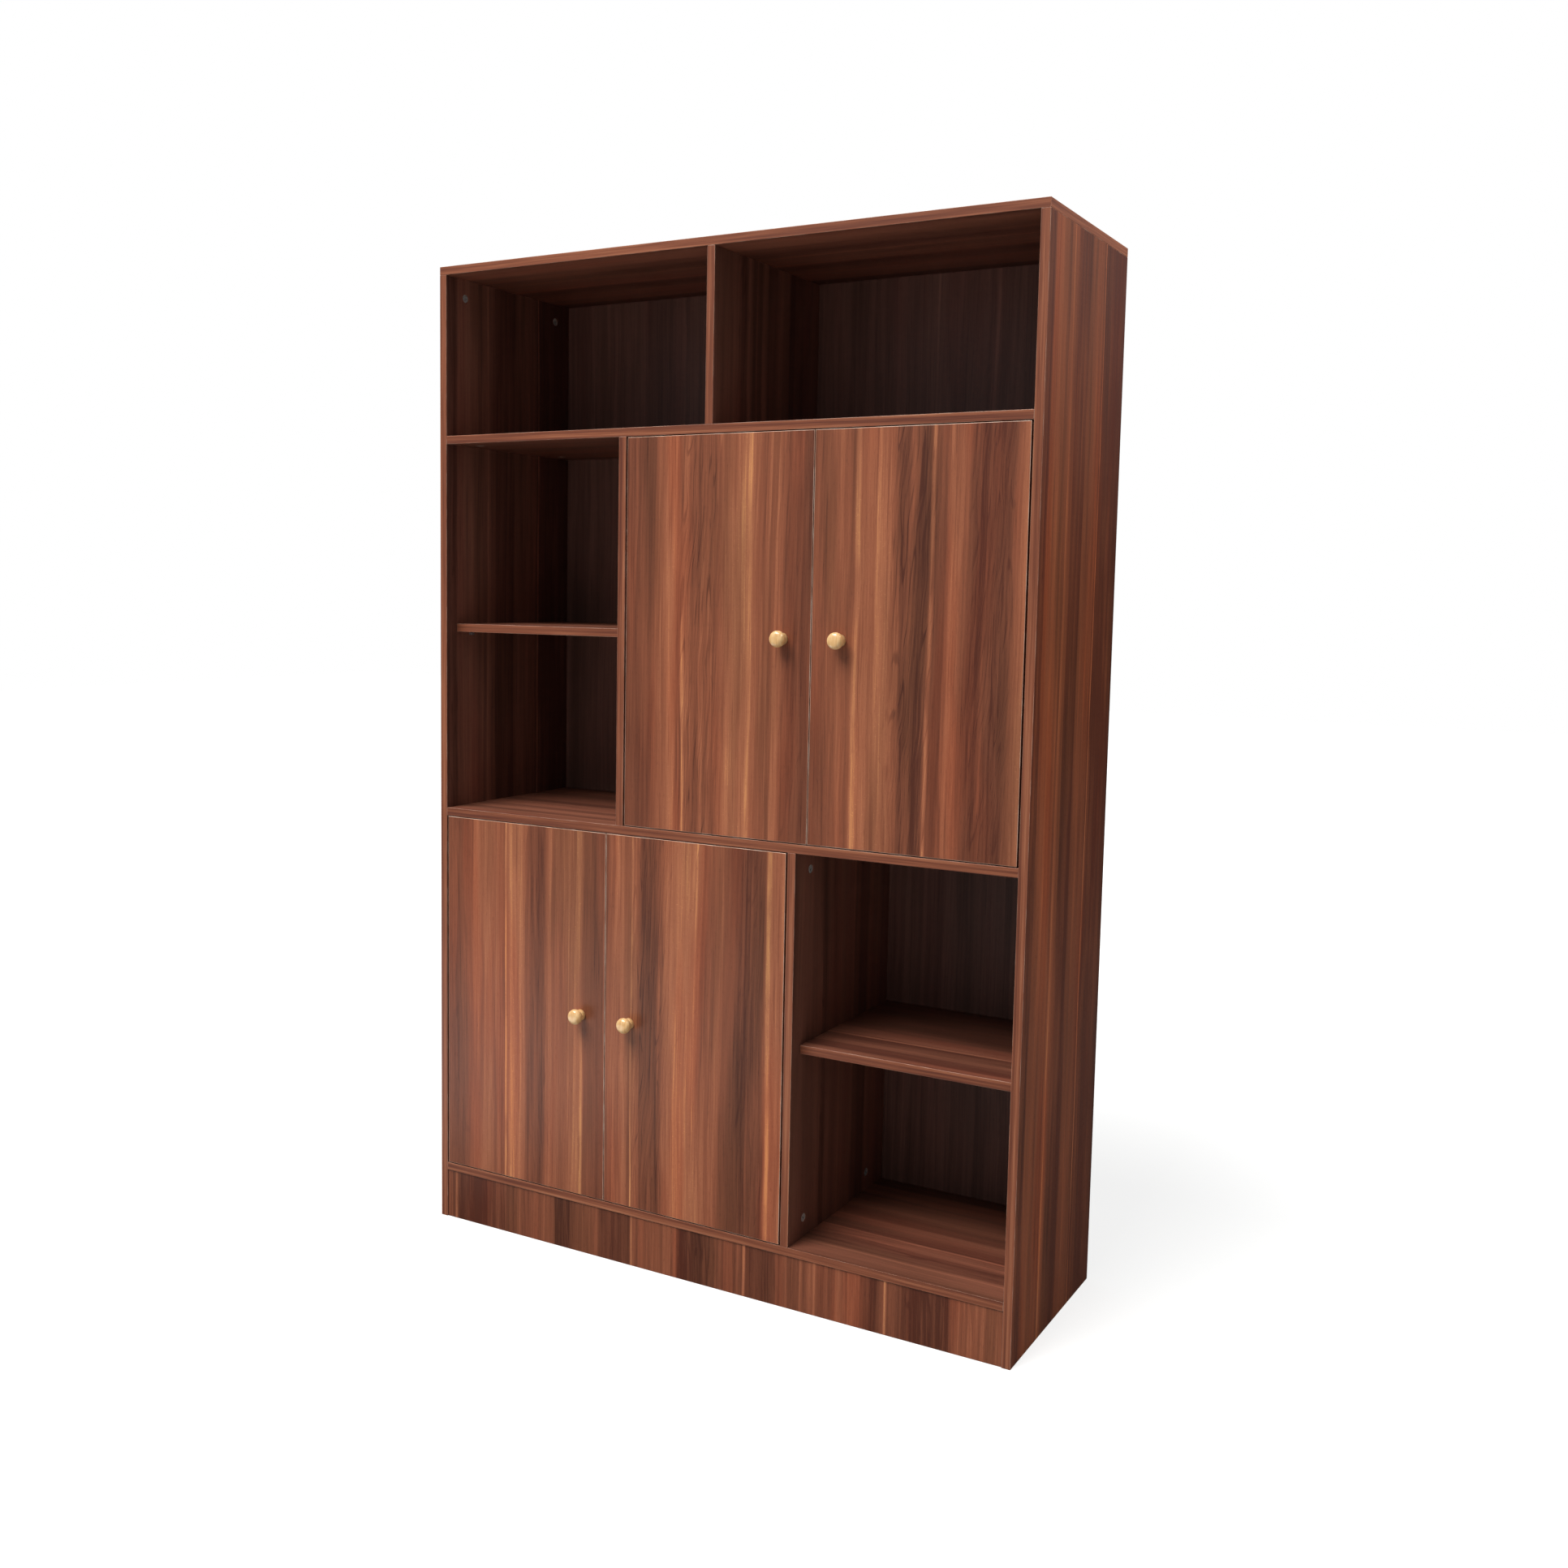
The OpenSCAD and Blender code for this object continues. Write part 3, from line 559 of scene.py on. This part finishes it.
def easeEdges(piece, ease):  # rounds the arrises so that they catch the light
    plain = piece.modifiers.new("plain normals", "NODES")
    plain.node_group = plainNormals
    weld = piece.modifiers.new("weld", "WELD")
    weld.merge_threshold = easing["weld"]
    flat = piece.modifiers.new("flat faces", "DECIMATE")
    flat.decimate_type = "DISSOLVE"
    flat.angle_limit = math.radians(easing["flatAngle"])
    bevel = piece.modifiers.new("eased edges", "BEVEL")
    bevel.width = ease["width"]
    bevel.segments = easing["segments"]
    bevel.limit_method = "ANGLE"
    bevel.angle_limit = math.radians(ease["angle"])
    bevel.harden_normals = True
    bevel.use_clamp_overlap = False


def setMaterial(piece, material):
    for slot in piece.material_slots:
        slot.material = material


def coverBoard(node, look, grain, across, name):
    setMaterial(nodes[node], laminate(name + " laminate", node, look, grain, across))


# Boards that share a way of drawing. Each one's seed is the first seed plus its place in the list.
# The dark and warmth below make the inside boards' print darker and greyer than the doors': painted shade
# inside the bays. The back boards' low side, which faces the bays, is greyer than their outside.
drawnBoards = [
    {"nodes": ["top_divider", "upper_divider", "lower_divider"], "grain": "Z", "across": "Y",
     "seed": 70, "width": 382, "dark": 0.13, "warmth": (0.88, 0.88), "spread": 1.0},
    {"nodes": ["top_panel", "bottom_panel", "middle_fixed_shelf", "upper_fixed_shelf", "left_bay_shelf",
               "right_bay_shelf", "upper_cupboard_shelf", "lower_cupboard_shelf"],
     "grain": "X", "across": "Y",
     "seed": 80, "width": 382, "dark": 0.11, "warmth": (0.92, 0.92), "spread": 1.0},
    {"nodes": ["upper_back_panel", "lower_back_panel", "rear_plinth"], "grain": "Z", "across": "X",
     "seed": 90, "width": 1130, "dark": 0.03, "warmth": (0.78, 1.0), "spread": 0.55}]
ownPrints = {"right_bay_shelf": shelfPrint}
# The side panels' faces inside the bays are greyer and their outer faces warmer: lit and shaded copies of one
# print, a painted shade.
sideWarmth = {"left_side_panel": (1.05, 0.88), "right_side_panel": (0.88, 1.05)}  # low side, high side
boardEndings = ("_panel", "_shelf", "_divider", "_plinth", "_door")


def finishBoards():
    for node, warmth in sideWarmth.items():
        coverBoard(node, {**sidePrintAndShade, "warmth": warmth}, "Z", "Y", node)
    coverBoard("front_plinth", plinthPrintAndShade, "Z", "X", "plinth")
    for rule in drawnBoards:
        manner = [rule[key] for key in ("width", "dark", "warmth", "spread")]
        for index, node in enumerate(rule["nodes"]):
            look = ownPrints[node] if node in ownPrints else drawnPrint(rule["seed"] + index, *manner)
            coverBoard(node, look, rule["grain"], rule["across"], node)
    for name in doorNames:
        coverBoard(name + "_door", {**doorPrints[name], **doorLook}, "Z", "X", name + " door")
    boards = [node for node in nodes if node.endswith(boardEndings)]
    for node in boards:
        if "back" not in node:
            easeEdges(nodes[node], doorEase if node.endswith("_door") else boardEase)
    print("boards finished:", len(boards))


finishBoards()

knob = {  # in mm
    "footRadius": 10.5, "footFlat": 5.0, "footEase": 0.4,
    "waistRadius": 8.8, "waistAt": 9.0, "waistDepth": 0.9,
    "headRadius": 14.0, "headAt": 17.0, "headLip": 0.8, "reach": 26.0, "turns": 72,
    "shoulderSteps": 6, "underSteps": 8, "domeSteps": 14,
    "underPowers": (1.1, 1.15), "domePowers": (0.52, 0.92)}  # below 1 gives a flatter, fuller curve


def quarterTurn(steps):
    return [math.radians(90 * step / steps) for step in range(1, steps + 1)]


def knobProfile():  # radius and distance from the door, in mm, from the foot to the crown
    foot, waist, head = knob["footRadius"], knob["waistRadius"], knob["headRadius"]
    points = [(foot - knob["footEase"], 0), (foot, knob["footEase"]), (foot, knob["footFlat"])]
    for angle in quarterTurn(knob["shoulderSteps"]):  # rounded shoulder of the foot down into the waist
        points.append((foot - (foot - waist) * (1 - math.cos(angle)) * knob["waistDepth"],
                       knob["footFlat"] + (knob["waistAt"] - knob["footFlat"]) * math.sin(angle)))
    outPower, upPower = knob["underPowers"]
    under = knob["headAt"] - knob["waistAt"] - knob["headLip"]
    for angle in quarterTurn(knob["underSteps"]):  # under the head, out from the waist
        points.append((waist + (head - waist) * math.sin(angle) ** outPower,
                       knob["headAt"] - under * math.cos(angle) ** upPower))
    outPower, upPower = knob["domePowers"]
    for angle in quarterTurn(knob["domeSteps"]):  # flattened dome
        points.append((head * math.cos(angle) ** outPower,
                       knob["headAt"] + (knob["reach"] - knob["headAt"]) * math.sin(angle) ** upPower))
    return points


def turnedKnob(name, material):
    low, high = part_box(name + "_knob")
    centre = (low + high) / 2
    count = knob["turns"]
    mesh = bmesh.new()
    rings = []
    for radius, out in knobProfile()[:-1]:
        ring = []
        for step in range(count):
            angle = 2 * math.pi * step / count
            ring.append(mesh.verts.new((centre.x + radius * mm * math.cos(angle), high.y - out * mm,
                                        centre.z + radius * mm * math.sin(angle))))
        rings.append(ring)
    crown = mesh.verts.new((centre.x, high.y - knob["reach"] * mm, centre.z))
    for lower, upper in zip(rings, rings[1:]):
        for i in range(count):
            mesh.faces.new((lower[i], lower[(i + 1) % count], upper[(i + 1) % count], upper[i]))
    for i in range(count):
        mesh.faces.new((rings[-1][i], rings[-1][(i + 1) % count], crown))
    mesh.faces.new(list(reversed(rings[0])))
    bmesh.ops.recalc_face_normals(mesh, faces=mesh.faces)
    for face in mesh.faces:
        face.smooth = True
    data = bpy.data.meshes.new(name + " turned knob")
    mesh.to_mesh(data)
    mesh.free()
    piece = bpy.data.objects.new(name + "_turned_knob", data)
    bpy.context.scene.collection.objects.link(piece)
    data.materials.append(material)
    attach(piece, name + "_door_body")
    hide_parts(name + "_knob")


paleWood = {
    "grain": (0.0022, 0.03), "grainTone": 0.6, "cloudScale": 90.0, "cloudTone": 0.4,
    "colours": [(0.30, "cf9a5c"), (0.5, "e2b47a"), (0.70, "edcb98")],
    "roughness": 0.26, "grainRoughness": 0.12, "bump": 0.05, "bumpDepth": 0.0002,
    "coat": 0.8, "coatRoughness": 0.08}


def lacqueredWood():
    material, tree, shader = newMaterial("lacquered pale wood")
    coordinates = tree.nodes.new("ShaderNodeTexCoord").outputs["Object"]
    place = parted(tree, coordinates)
    grain = noise(tree, stretched(tree, (place[0], place[2], place[1]), paleWood["grain"]), detail=3)
    cloud = noise(tree, coordinates, detail=2, scale=paleWood["cloudScale"])
    tone = plus(tree, times(tree, grain, paleWood["grainTone"]), times(tree, cloud, paleWood["cloudTone"]))
    plug(tree, shader.inputs["Base Color"], ramp(tree, tone, paleWood["colours"]))
    rough = plus(tree, paleWood["roughness"], times(tree, grain, paleWood["grainRoughness"]))
    plug(tree, shader.inputs["Roughness"], rough)
    bumped(tree, shader, grain, paleWood["bump"], paleWood["bumpDepth"])
    shader.inputs["Coat Weight"].default_value = paleWood["coat"]
    shader.inputs["Coat Roughness"].default_value = paleWood["coatRoughness"]
    return material


knobWood = lacqueredWood()
for doorName in doorNames:
    turnedKnob(doorName, knobWood)
print("knobs turned")

metals = {
    "nickel_hinge": {"name": "nickel hinge", "base": "e6e3dc", "dark": "c8c5be",
                     "rough": 0.26, "scratch": 0.16, "metallic": 0.9},
    "steel_fixings": {"name": "steel fixing", "base": "dcdddf", "dark": "b2b3b6",
                      "rough": 0.28, "scratch": 0.2, "metallic": 0.9},
    "zinc_cam": {"name": "zinc cam", "base": "dcdcd8", "dark": "b0b0ac",
                 "rough": 0.42, "scratch": 0.3, "metallic": 0.6}}
metalWear = {"patchScale": 260.0, "patchStep": (0.3, 0.75), "fineScale": 1900.0, "bumpDepth": 0.0001}
dowelWood = {"grainScale": 320.0, "colours": [(0.3, "b88f5e"), (0.7, "dfc296")],
             "roughness": 0.5, "grainRoughness": 0.2}


def metal(look):
    material, tree, shader = newMaterial(look["name"])
    coordinates = tree.nodes.new("ShaderNodeTexCoord").outputs["Object"]
    patches = noise(tree, coordinates, detail=3, scale=metalWear["patchScale"])
    fine = noise(tree, coordinates, detail=2, scale=metalWear["fineScale"])
    dull = smooth(tree, patches, *metalWear["patchStep"])
    plug(tree, shader.inputs["Base Color"],
         mixColour(tree, dull, hexColour(look["base"]), hexColour(look["dark"])))
    plug(tree, shader.inputs["Roughness"], plus(tree, look["rough"], times(tree, patches, look["scratch"])))
    bumped(tree, shader, fine, look["scratch"], metalWear["bumpDepth"])
    shader.inputs["Metallic"].default_value = look["metallic"]
    return material


def beech():
    material, tree, shader = newMaterial("beech dowel")
    coordinates = tree.nodes.new("ShaderNodeTexCoord").outputs["Object"]
    grain = noise(tree, coordinates, detail=3, scale=dowelWood["grainScale"])
    plug(tree, shader.inputs["Base Color"], ramp(tree, grain, dowelWood["colours"]))
    rough = plus(tree, dowelWood["roughness"], times(tree, grain, dowelWood["grainRoughness"]))
    plug(tree, shader.inputs["Roughness"], rough)
    return material


def finishFittings():  # the fittings are told apart by the finish that they bring from the frame
    finishes = {name: metal(look) for name, look in metals.items()}
    wood = beech()
    done = 0
    for piece in nodes.values():
        old = piece.material_slots[0].material.name.split(".")[0] if piece.material_slots else ""
        if old in finishes:
            setMaterial(piece, finishes[old])
            easeEdges(piece, fittingEase)
            done += 1
        elif old == "beech_dowel":
            setMaterial(piece, wood)
            done += 1
    print("fittings finished:", done)


finishFittings()

camera = {"place": (1.37165, -2.47167, 1.21887), "turn": (84.3202, -0.8862, 30.4507),
          "lens": 36.124, "sensor": 36, "shift": (0.0408, -0.0241), "farthest": 100}
lights = [
    {"name": "key", "place": (-2.3, -4.9, 9.3), "size": 6.6, "power": 1420, "tint": (1.0, 0.985, 0.96)},
    {"name": "side fill", "place": (2.5, 0.35, 3.5), "size": 1.6, "power": 80, "tint": (1.0, 0.97, 0.93)}]


def makeCamera():
    data = bpy.data.cameras.new("camera")
    data.sensor_width = camera["sensor"]
    data.lens = camera["lens"]
    data.shift_x, data.shift_y = camera["shift"]
    data.clip_end = camera["farthest"]
    piece = bpy.data.objects.new("camera", data)
    piece.location = camera["place"]
    piece.rotation_euler = [math.radians(a) for a in camera["turn"]]
    bpy.context.scene.collection.objects.link(piece)
    bpy.context.scene.camera = piece


def makeLights():  # soft round lamps, turned to the middle of the cabinet
    target = (cadBox[0] + cadBox[1]) / 2
    for look in lights:
        data = bpy.data.lights.new(look["name"], "AREA")
        data.shape = "DISK"
        data.size = look["size"]
        data.energy = look["power"]
        data.color = look["tint"]
        piece = bpy.data.objects.new(look["name"], data)
        piece.location = look["place"]
        piece.rotation_euler = (target - Vector(look["place"])).to_track_quat("-Z", "Y").to_euler()
        bpy.context.scene.collection.objects.link(piece)


room = {
    "backWall": "1c1a19", "frontWall": "6f7c84", "wallStep": (0.3, -0.5),  # from the back round to the front
    "ceiling": "8a9093", "ceilingStep": (0.0, 0.24)}


def makeWorld():  # a plain room that is seen as white and lights as a dim studio
    world = bpy.data.worlds.new("studio")
    bpy.context.scene.world = world
    world.use_nodes = True
    tree = world.node_tree
    background = tree.nodes["Background"]
    seen = addNode(tree, "ShaderNodeLightPath").outputs["Is Camera Ray"]
    way = parted(tree, tree.nodes.new("ShaderNodeTexCoord").outputs["Generated"])
    walls = mixColour(tree, smooth(tree, way["Y"], *room["wallStep"]),
                      hexColour(room["backWall"]), hexColour(room["frontWall"]))
    inside = mixColour(tree, smooth(tree, way["Z"], *room["ceilingStep"]), walls, hexColour(room["ceiling"]))
    plug(tree, background.inputs["Color"], mixColour(tree, seen, inside, (1, 1, 1, 1)))


floor = {
    "reach": 14, "grey": (0.42, 0.42, 0.42, 1), "roughness": 0.9,
    "glowStep": (0.8, 4.0, 0.62, 1.0),  # whiter away from the cabinet
    "sheenSpot": (-1.3, -1.15, 0),  # a pale patch to the left in front, which the low doors reflect
    "sheenPaleStep": (1.2, 0.3, 0.08, 0.95), "shineStep": (1.1, 0.3, 0.0, 1.0)}


def makeFloor():
    data = bpy.data.meshes.new("floor")
    reach = floor["reach"]
    corners = [(x * reach, y * reach, 0) for x, y in ((-1, -1), (1, -1), (1, 1), (-1, 1))]
    data.from_pydata(corners, [], [(0, 1, 2, 3)])
    piece = bpy.data.objects.new("floor", data)
    bpy.context.scene.collection.objects.link(piece)
    material, tree, shader = newMaterial("pale floor")
    place = tree.nodes.new("ShaderNodeTexCoord").outputs["Object"]
    fromCabinet = addNode(tree, "ShaderNodeVectorMath", {0: place}, operation="LENGTH").outputs["Value"]
    fromSpot = addNode(tree, "ShaderNodeVectorMath", {
        0: place, 1: floor["sheenSpot"]}, operation="DISTANCE").outputs["Value"]
    ray = addNode(tree, "ShaderNodeLightPath").outputs
    glow = times(tree, ray["Is Camera Ray"], smooth(tree, fromCabinet, *floor["glowStep"]))
    # Near the spot, the floor is paler and glows only where the doors reflect it: a painted reflection, which
    # puts a sheen on the low doors.
    pale = smooth(tree, fromSpot, *floor["sheenPaleStep"])
    shine = times(tree, ray["Is Glossy Ray"], smooth(tree, fromSpot, *floor["shineStep"]))
    plug(tree, shader.inputs["Base Color"], mixColour(tree, ray["Is Glossy Ray"], floor["grey"], pale))
    shader.inputs["Roughness"].default_value = floor["roughness"]
    shader.inputs["Specular IOR Level"].default_value = 0.0
    shader.inputs["Emission Color"].default_value = (1, 1, 1, 1)
    plug(tree, shader.inputs["Emission Strength"], plus(tree, glow, shine))
    data.materials.append(material)


makeCamera()
makeLights()
makeWorld()
makeFloor()
bpy.context.scene.view_settings.view_transform = "Standard"
print("studio ready")
